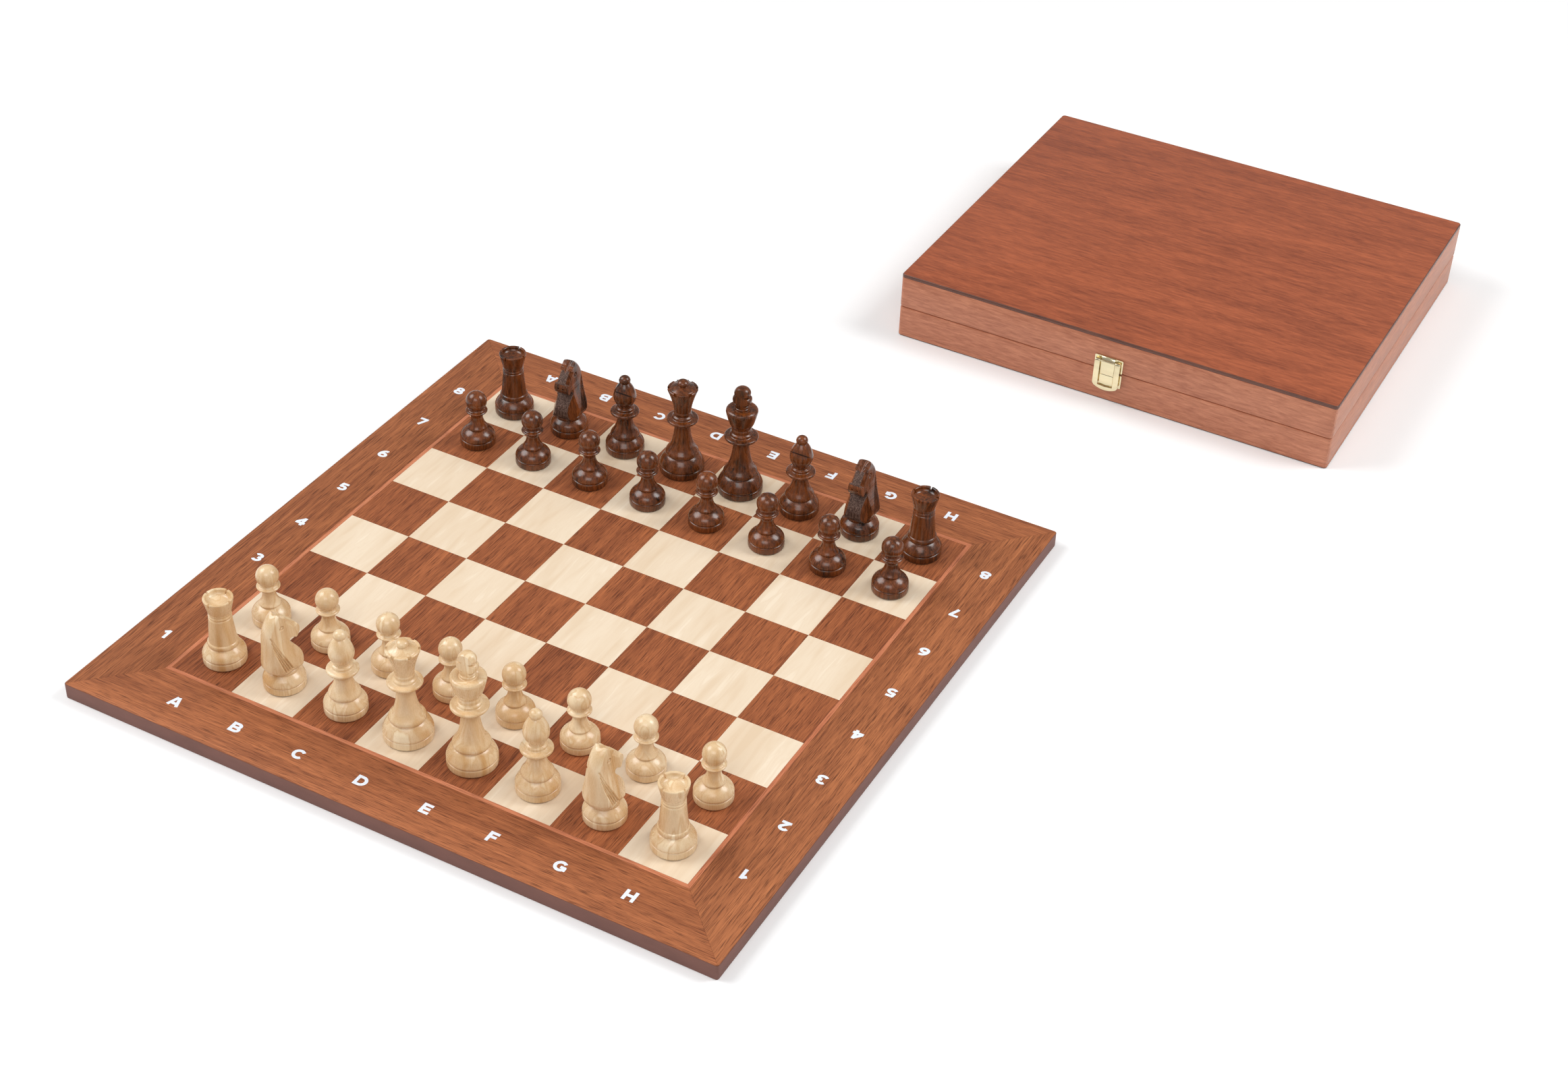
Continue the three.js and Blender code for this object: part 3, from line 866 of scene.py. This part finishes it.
def rook():
    """Four narrow slits cross the rim down to the bowl."""
    mesh = turned("rook", ROOK)
    low, high = SLIT / 2 - 0.3, SLIT / 2 + 0.2
    wedge = [(-low, SLIT_FOOT), (low, SLIT_FOOT), (high, 54), (-high, 54)]
    return smooth(boolean(mesh, "DIFFERENCE", *notches(wedge, 3, 10, 4)), 50)


def bishop():
    """A thin slanted slit runs into the side of the mitre."""
    mesh = turned("bishop", BISHOP)
    blade = plate("blade", rectangle(-12, 12, 0, 12), -MITRE_SLIT / 2, MITRE_SLIT / 2)
    moved(blade, Matrix.Translation((0, 2.2, 50.5)) @ Matrix.Rotation(MITRE_TILT, 4, "X"))
    return smooth(boolean(mesh, "DIFFERENCE", blade), 50)


def queen():
    """Six round-bottomed notches make the coronet."""
    mesh = turned("queen", QUEEN)
    half = CREST_NOTCH / 2
    shape = bow(0, NOTCH_FOOT + half, half, half, 180, 360, 9) + [(half + 0.2, 76), (-half - 0.2, 76)]
    return smooth(boolean(mesh, "DIFFERENCE", *notches(shape, 2.2, 12.1, 6, first=30)), 50)


def king():
    """The finial is turned, then sawn flat on two sides."""
    half = FINIAL_THICKNESS / 2
    slab = plate("slab", rectangle(-12, 12, -half, half), 72, 95)
    finial = boolean(turned("finial", KING_FINIAL), "INTERSECT", slab)
    return smooth(boolean(turned("king", KING), "UNION", finial), 30)


def knight_block():
    """The head before its outline is sawn: flat sides and a round back, as level cuts."""
    steps = 14
    rings = []
    for height, front, ridge, half, back in curve_through([Vector(level) for level in KNIGHT_LEVELS], 4):
        sag = ridge - back
        radius = (half * half + sag * sag) / (2 * sag)
        reach = math.asin(min(half / radius, 1))
        ring = [(-front, KNIGHT_FRONT, height), (front, KNIGHT_FRONT, height)]
        for step in range(steps + 1):
            angle = reach * (1 - 2 * step / steps)
            ring.append((radius * math.sin(angle), back + radius * (1 - math.cos(angle)), height))
        rings.append(ring)
    return skin("block", rings, closed=False, inside_out=True)


def side_place(forward, height):
    """The half width of the uncut head at a place on its flat side."""
    for low, high in zip(KNIGHT_LEVELS, KNIGHT_LEVELS[1:]):
        if low[0] <= height <= high[0]:
            level = Vector(low).lerp(Vector(high), (height - low[0]) / (high[0] - low[0]))
            along = (forward - level[2]) / (KNIGHT_FRONT - level[2])
            return level[3] + (level[1] - level[3]) * along


def slab_above(first, second, third):
    """A wide slab that lies on the outer side of the plane through three points."""
    first, second, third = Vector(first), Vector(second), Vector(third)
    across = (second - first).normalized()
    out = across.cross(third - first).normalized()
    if out.dot(Vector((first.x, first.y, 0))) < 0:
        out.negate()
    up = out.cross(across)
    slab = plate("slab", rectangle(-18, 18, -14, 18), 0, 6)
    return moved(slab, basis(across, up, out, (first + second) / 2))


def on_side(side, forward, height):
    return Vector((side * side_place(forward, height), forward, height))


def ear_valley():
    """The cut between the ears, which slopes down to the front."""
    outline = [(0, 0), (5, 3), (5, 9), (-5, 9), (-5, 3)]
    return prism(outline, 7.2, basis((-1, 0, 0), (0, 0.574, 0.819), (0, 0.819, -0.574), (0, -1, 57.7)))


def nose_chamfer(side):
    """A slanted cut along one edge of the nose."""
    right = (0.526, -0.601 * side, -0.601 * side)
    up = (0.85 * side, 0.372, 0.372)
    return prism(rectangle(-5, 5, 0, 4), 5.2, basis(right, up, (0, -0.707, 0.707), (side * 3.2, 7.1, 51.7)))


def nostril(side):
    hole = turned("hole", [(0.55, -2, E), (0.7, 3, E)], 16)
    return moved(hole, basis((1, 0, 0), UP, (0, -1, 0), (side * 2.1, 12.4, 43.6)))


def eye(side):
    """A round groove that leaves a low cone in its middle."""
    ring = turned("ring", [(1.8, -0.9, E), (1.8, 3, E)], 24)
    core = turned("core", [(1.0, -1.3, E), (0.6, 3, E)], 24)
    groove = boolean(ring, "DIFFERENCE", core)
    return moved(groove, side_on(on_side(side, *KNIGHT_EYE), side))


def mane_groove(side, number):
    """A straight groove from the back of the neck down to the chest."""
    top, bottom = [on_side(side, *[start + step * number for start, step in end])
                   for end in (MANE_TOP, MANE_FOOT)]
    along = (top - bottom).normalized()
    out = (Vector((side, 0, 0)) - along * along.x * side).normalized()
    section = [(-0.2, -1.4), (0.2, -1.4), (0.75, 0.3), (0.8, 2), (-0.8, 2), (-0.75, 0.3)]
    reach = (top - bottom).length / 2 + 0.5
    return prism(section, reach, basis(along.cross(out), out, along, (top + bottom) / 2))


def knight_head():
    """Sawn to its outline, then carved: ears, chest, nose, nostrils, eyes and mane."""
    outline = prism(KNIGHT_SIDE, 16, side_on())
    block = boolean(knight_block(), "INTERSECT", outline)
    cuts = [ear_valley()]
    for side in (-1, 1):
        chest = slab_above((side * 6.2, 12.8, 20), (side * 9.4, 6.4, 20), (side * 5.9, 5.0, 36))
        cuts += [chest, nose_chamfer(side), nostril(side), eye(side)]
        cuts += [mane_groove(side, number) for number in range(MANE_GROOVES)]
    return softened(boolean(block, "DIFFERENCE", *cuts), voxel=0.26, rounds=3)


def mark_filed(head):
    """The chest and the front of the nose are left as the file cut them: the second look."""
    for face in head.polygons:
        height = face.center.z / MM
        chest = height < 37 and face.normal.y > 0.68 and abs(face.center.x) < 7 * MM
        nose = height > 47 and face.normal.dot(Vector((0, 1, 1))) > 1.33 and face.center.y > 3.6 * MM
        face.material_index = int(chest or nose)


def felt_disc(radius):
    rim = radius - 0.9
    return turned("felt_disc", [(rim, 0.02, E), (rim + 0.15, 0.15), (rim + 0.1, FELT, E), (0, FELT)], 64)


def make_men():
    """Each kind is made once in each colour and set where the frame has it."""
    shapes = {
        "pawn": turned("pawn", PAWN), "rook": rook(), "bishop": bishop(), "queen": queen(), "king": king(),
        "knight_base": turned("knight_base", KNIGHT_BASE), "knight_head": knight_head(),
    }
    discs = {kind: felt_disc(radius) for kind, radius in FOOT_RADIUS.items()}
    looks = {"white": (WHITE_WOOD, WHITE_FILED), "black": (BLACK_WOOD, BLACK_FILED)}
    coloured = {}
    for colour, (polished, filed) in looks.items():
        for kind, shape in shapes.items():
            mesh = shape.copy()
            mesh.materials.clear()
            mesh.materials.append(polished)
            if kind == "knight_head":
                mesh.materials.append(filed)
                mark_filed(mesh)
            coloured[colour, kind] = mesh
    for body, nodes in frame["record"]["behaviour"]["bodies"].items():
        colour, _, rest = body.partition("_")
        if colour not in looks:
            continue
        kind, square = rest.split("_")
        low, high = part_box(nodes[0])
        at = Vector(((low.x + high.x) / 2, (low.y + high.y) / 2, low.z))
        turn = TURNS.get(square, 0) + (180 if colour == "black" else 0)
        for node in nodes:
            mesh = coloured[colour, kind + node[len(body):]]
            add_piece(node + "_wood", mesh, None, body, [node], at, turn)
        disc = discs[kind if kind in discs else kind + "_base"]
        under = at - FELT * MM * UP
        add_piece(body + "_felt", disc, GREEN_FELT, body, (), under)


# ---- storage box ----

box_low, box_high = box_of("case_bottom_panel")
box_middle = (box_low + box_high) / 2
LENGTH = box_high.x - box_low.x
WIDTH = box_high.y - box_low.y
HEIGHT = box_of("lid_top_panel")[1].z
SEAM_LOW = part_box("case_frame")[1].z / MM
SEAM_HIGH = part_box("lid_frame")[0].z / MM


def on_box(mesh):
    return shifted(mesh, box_middle.x, box_middle.y)


def panel(name, bottom, top, low_round, high_round):
    """A flat board as long and wide as the box, with rounded edges."""
    section = bow(low_round, bottom + low_round, low_round, low_round, 270, 180, 4)
    section += bow(high_round, top - high_round, high_round, high_round, 180, 90, 4)
    return on_box(swept_rectangle(name, LENGTH, WIDTH, BOX_CORNER, section, closed=False))


def walls(name, bottom, top, low_lip, high_lip):
    """Four walls as one ring; the lips round the edges where the box opens."""
    section = [(low_lip, bottom), (0.3 * low_lip, bottom + 0.3 * low_lip), (0, bottom + low_lip),
               (0, top - high_lip), (0.3 * high_lip, top - 0.3 * high_lip), (high_lip, top),
               (WALL - 0.5, top), (WALL, top - 0.5), (WALL, bottom + 0.5), (WALL - 0.5, bottom)]
    mesh = swept_rectangle(name, LENGTH, WIDTH, BOX_CORNER, section, closed=True)
    # The front and back walls take the X wood; the side walls take the Y wood, whose lighter, greyer colour
    # is painted light and sheen from the right.
    two_looks(mesh, WALL_ALONG_X, WALL_ALONG_Y_PAINTED_LIGHTER,
              lambda face: abs(face.center.x) / LENGTH > abs(face.center.y) / WIDTH)
    return on_box(mesh)


def make_box():
    """The lid board with darker edges, the floor board with painted shade where its edge turns under, the
    walls, and the divider on its lining.
    """
    floor_board = panel("case_floor", 0, PANEL, 1.0, 0.2)
    # Painted shade: on the floor board only the rounding that faces down takes the dark edge wood, so the
    # box is darker where it meets the floor.
    two_looks(floor_board, WALL_ALONG_X, PANEL_EDGE, lambda face: -0.98 < face.normal.z < -0.1)
    add_piece("case_floor", floor_board, None, "case", ["case_bottom_panel"])
    case_walls = walls("case_walls", PANEL + BOX_GAP, SEAM_LOW, 0.3, 1.2)
    add_piece("case_walls", case_walls, None, "case", ["case_frame"])
    lid_walls = walls("lid_walls", SEAM_HIGH, HEIGHT - LID_PANEL - BOX_GAP, 1.2, 0.3)
    add_piece("lid_walls", lid_walls, None, "lid", ["lid_frame"])
    lid_board = panel("lid_panel", HEIGHT - LID_PANEL, HEIGHT, 0.5, 1.2)
    two_looks(lid_board, PANEL_WOOD, PANEL_EDGE, lambda face: abs(face.normal.z) < 0.93)
    add_piece("lid_panel", lid_board, None, "lid", ["lid_top_panel"])
    low, high = box_of("case_lining")
    lining = plate("lining", rounded_rectangle(high.x - low.x, high.y - low.y, 1), low.z, high.z, 0.5, 3)
    sheet = add_piece("lining_felt", on_box(lining), GREEN_FELT, "case", ["case_lining"])
    low, high = box_of("case_divider")
    outline = rounded_rectangle(high.x - low.x, high.y - low.y, 0.4, 2)
    divider = on_box(plate("divider", outline, low.z, high.z, 0.7, 3))
    # The divider uses the side walls' Y wood, with its painted lighter tone.
    add_piece("divider_strip", divider, WALL_ALONG_Y_PAINTED_LIGHTER, "case", ["case_divider"])


# ---- brass fittings ----

# Latch sizes, from the front wall outwards and above the floor.
LATCH_GAP = 0.3
HALF_PLATE = 12
UPPER_PLATE = (28.2, 40.5)
LOWER_PLATE = (14.5, 27.0)
HALF_TAB = 5.7
TAB_FRONT = 3.3
TABS_MEET = 25
ARM_IN, ARM_OUT = 6.3, 10.8
HASP_BACK, HASP_FRONT = 3.6, 4.6
TONGUE, WINDOW_BOTTOM, SHOULDER = 11.6, 14.8, 16.2
PIN_HEIGHT = 37
HASP_PIN = (PIN_HEIGHT, 3.15)
KNUCKLE = 1.75
PIN = 0.8
BORE = PIN + 0.15
OUTER_FACE = LATCH_GAP + PLATE

# Hinge sizes, from the middle of the hinge and the seam of the box.
HALF_HINGE = 12
MIDDLE_KNUCKLE = 4
LEAF = 10
SEAM = (SEAM_LOW + SEAM_HIGH) / 2
HINGE_PIN = (SEAM, LATCH_GAP + KNUCKLE)


def on_front_wall(mesh):
    """Moves local X along the middle of the front wall, Y up and Z outwards."""
    return moved(mesh, basis((1, 0, 0), UP, (0, -1, 0), (box_middle.x, box_low.y, 0)))


def on_back_wall(mesh, x):
    return moved(mesh, basis((-1, 0, 0), UP, (0, 1, 0), (x, box_high.y, 0)))


def rod(radius, start, end, centre, rounding=0.2):
    """A rod along local X at centre = (Y, Z), with its ends rounded."""
    profile = [(radius - rounding, 0, E), (radius, rounding, E), (radius, end - start - rounding, E),
               (radius - rounding, end - start, E)]
    return moved(turned("rod", profile, 32), side_on((start, *centre)))


def bent_sheet(path, thickness, half_width):
    """A strip of sheet metal, half_width to each side of X = 0, that follows a path of (Y, Z)."""
    path = [Vector(point) for point in path]
    offset = []
    for i, point in enumerate(path):
        before = path[max(i - 1, 0)]
        after = path[min(i + 1, len(path) - 1)]
        direction = (after - before).normalized()
        offset.append(point + Vector((-direction.y, direction.x)) * thickness)
    outline = [(p.x, p.y) for p in path + offset[::-1]]
    mesh = plate("sheet", outline, -half_width, half_width, 0.12, 2)
    return moved(mesh, side_on())


def nail(x, y, radius):
    """A domed nail head on a plate."""
    dome = [(radius, 0, E), (radius, 0.12), (0.8 * radius, 0.34), (0.4 * radius, 0.47), (0, 0.5)]
    return shifted(turned("nail", dome, 24), x, y, OUTER_FACE - 0.1)


def nailed_plate(half, low, high, corner, nail_place, nail_radius):
    """A plate that stands clear of its wall, and its two nail heads."""
    middle = (low + high) / 2
    outline = rounded_rectangle(2 * half, high - low, corner, 4, (0, middle))
    heads = [nail(x, middle, nail_radius) for x in (-nail_place, nail_place)]
    return plate("plate", outline, LATCH_GAP, OUTER_FACE, 0.15, 2), heads


def brass_piece(name, mesh, body, node):
    """A piece of the latch, or of a hinge in its darker brass."""
    fitting, look = ("hinge", HINGE_BRASS) if name.startswith("hinge") else ("latch", LATCH_BRASS)
    add_piece(name, mesh, look, body, [node])


def latch_plate(span, tab):
    flat, heads = nailed_plate(HALF_PLATE, *span, 1.0, 9.2, 1.0)
    return on_front_wall(smooth(merged("latch", [flat, tab, *heads])))


def make_latch():
    face = TAB_FRONT - PLATE
    upper_tab = bent_sheet([(40.0, OUTER_FACE - 0.2), (39.4, OUTER_FACE + 0.5), (38.0, face - 0.2),
                            (37.0, face), (TABS_MEET + 0.15, face)], -PLATE, HALF_TAB)
    lower_tab = bent_sheet([(14.7, OUTER_FACE - 0.2), (14.7, face - 0.5), (14.95, face - 0.1),
                            (15.4, face), (TABS_MEET - 0.15, face)], PLATE, HALF_TAB)
    brass_piece("latch_upper", latch_plate(UPPER_PLATE, upper_tab), "lid", "latch_upper_plate")
    brass_piece("latch_lower", latch_plate(LOWER_PLATE, lower_tab), "case", "latch_lower_plate")
    pin = rod(PIN, -ARM_OUT, ARM_OUT, HASP_PIN)
    brass_piece("latch_pin_rod", on_front_wall(pin), "lid", "latch_pin")
    brass_piece("latch_hasp_loop", on_front_wall(hasp_loop()), "hasp", "latch_hasp")


def hasp_loop():
    """Two arms on bored knuckles, joined below by a tongue with a curved edge."""
    outline = [(-ARM_OUT, PIN_HEIGHT), (-ARM_OUT, SHOULDER)]
    for step in range(1, 16):
        x = -ARM_OUT + 2 * ARM_OUT * step / 16
        outline.append((x, TONGUE + (SHOULDER - TONGUE - 1.2) * (x / ARM_OUT) ** 2))
    outline += [(ARM_OUT, SHOULDER), (ARM_OUT, PIN_HEIGHT), (ARM_IN, PIN_HEIGHT)]
    outline += [(ARM_IN, WINDOW_BOTTOM + 0.6), (0, WINDOW_BOTTOM), (-ARM_IN, WINDOW_BOTTOM + 0.6),
                (-ARM_IN, PIN_HEIGHT)]
    arms = plate("hasp", outline, HASP_BACK, HASP_FRONT, 0.22, 3)
    bores = rod(BORE, -ARM_OUT - 1, ARM_OUT + 1, HASP_PIN)
    knuckles = [rod(KNUCKLE, x, x + ARM_OUT - ARM_IN, HASP_PIN, rounding=0.35)
                for x in (-ARM_OUT, ARM_IN)]
    return smooth(boolean(boolean(arms, "UNION", *knuckles), "DIFFERENCE", bores))


def hinge_leaf(x, bottom, top, spans):
    """A leaf with two screws; a bored knuckle stands out of it at each span along the pin."""
    flat, screws = nailed_plate(HALF_HINGE, bottom, top, 1.2, 7.5, 1.6)
    parts = []
    far_edge = top - 1 if bottom > SEAM else bottom + 1
    for start, end in spans:
        parts.append(rod(KNUCKLE, start, end, HINGE_PIN))
        parts.append(plate("web", rectangle(start, end, SEAM, far_edge), LATCH_GAP, OUTER_FACE))
    bore = rod(BORE, -HALF_HINGE - 1, HALF_HINGE + 1, HINGE_PIN)
    knuckled = boolean(boolean(flat, "UNION", *parts), "DIFFERENCE", bore)
    knuckled.materials.clear()
    return on_back_wall(smooth(merged("leaf", [knuckled] + screws)), x)


def make_hinges():
    clear = KNUCKLE + LATCH_GAP
    middle = MIDDLE_KNUCKLE - LATCH_GAP
    outer_spans = [(-HALF_HINGE, -MIDDLE_KNUCKLE), (MIDDLE_KNUCKLE, HALF_HINGE)]
    for side in ("left", "right"):
        low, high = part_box(f"hinge_{side}_pin")
        x = (low.x + high.x) / 2 / MM
        case_leaf = hinge_leaf(x, SEAM - clear - LEAF, SEAM - clear, outer_spans)
        lid_leaf = hinge_leaf(x, SEAM + clear, SEAM + clear + LEAF, [(-middle, middle)])
        pin = on_back_wall(rod(PIN, -HALF_HINGE, HALF_HINGE, HINGE_PIN), x)
        hinge = f"hinge_{side}_"
        brass_piece(hinge + "lower_leaf", case_leaf, "case", hinge + "case_leaf")
        brass_piece(hinge + "upper_leaf", lid_leaf, "lid", hinge + "lid_leaf")
        brass_piece(hinge + "pin_rod", pin, "case", hinge + "pin")


# ---- floor, lights and camera ----

# The camera's place from the middle of the board's top, in squares, and its direction.
CAMERA_PLACE = Vector((14.677, -22.725, 21.557))
AZIMUTH, ELEVATION, ROLL = 27.07, 36.93, 2.54
LENS = 56.7
# Each softbox's place and size in metres, and its power; all face the middle of the floor.
SOFTBOXES = {
    "key_softbox": ((-2.2, -0.9, 2.4), (1.8, 1.8), 62),
    "side_softbox": ((1.6, 0.8, 1.9), (1.0, 1.3), 34),
    "front_softbox": ((0.6, -2.0, 1.9), (1.6, 1.0), 18),
}
WORLD_LIGHT = 0.36
FLOOR_REACH = 6000
FLOOR_HEIGHT = -0.05


def make_camera():
    data = bpy.data.cameras.new("camera")
    data.lens = LENS
    data.sensor_width = 36
    data.clip_end = 50
    camera = linked("camera", data)
    azimuth, elevation, roll = [math.radians(a) for a in (AZIMUTH, ELEVATION, ROLL)]
    ahead = Vector((-math.sin(azimuth) * math.cos(elevation), math.cos(azimuth) * math.cos(elevation),
                    -math.sin(elevation)))
    level = ahead.cross(UP).normalized()
    above = level.cross(ahead)
    right = level * math.cos(roll) + above * math.sin(roll)
    top = Vector((board_middle.x, board_middle.y, BOARD_TOP)) * MM
    place = top + CAMERA_PLACE * SQUARE * MM
    camera.matrix_world = basis(right, right.cross(ahead), -ahead, place)
    bpy.context.scene.camera = camera


def area_light(name, place, size, power):
    data = bpy.data.lights.new(name, "AREA")
    data.shape = "RECTANGLE"
    data.size, data.size_y = size
    data.energy = power
    light = linked(name, data)
    light.location = place
    light.rotation_euler = Vector(place).to_track_quat("Z", "Y").to_euler()


def make_stage():
    bpy.context.scene.view_settings.view_transform = "Standard"
    world = bpy.data.worlds.new("studio")
    world.use_nodes = True
    background = world.node_tree.nodes["Background"]
    background.inputs["Color"].default_value = (1, 1, 1, 1)
    background.inputs["Strength"].default_value = WORLD_LIGHT
    bpy.context.scene.world = world

    corners = rectangle(-FLOOR_REACH, FLOOR_REACH, -FLOOR_REACH, FLOOR_REACH)
    floor = linked("floor", mesh_of("floor", [(x, y, FLOOR_HEIGHT) for x, y in corners], [(0, 1, 2, 3)]))
    look = Look("pale_floor", Base_Color=(0.95, 0.95, 0.95, 1), Roughness=0.95)
    floor.data.materials.append(look.material)
    for name, (place, size, power) in SOFTBOXES.items():
        area_light(name, place, size, power)


make_stage()
make_camera()
board_panel()
squares()
borders()
stringing()
notation()
make_men()
make_box()
make_latch()
make_hinges()
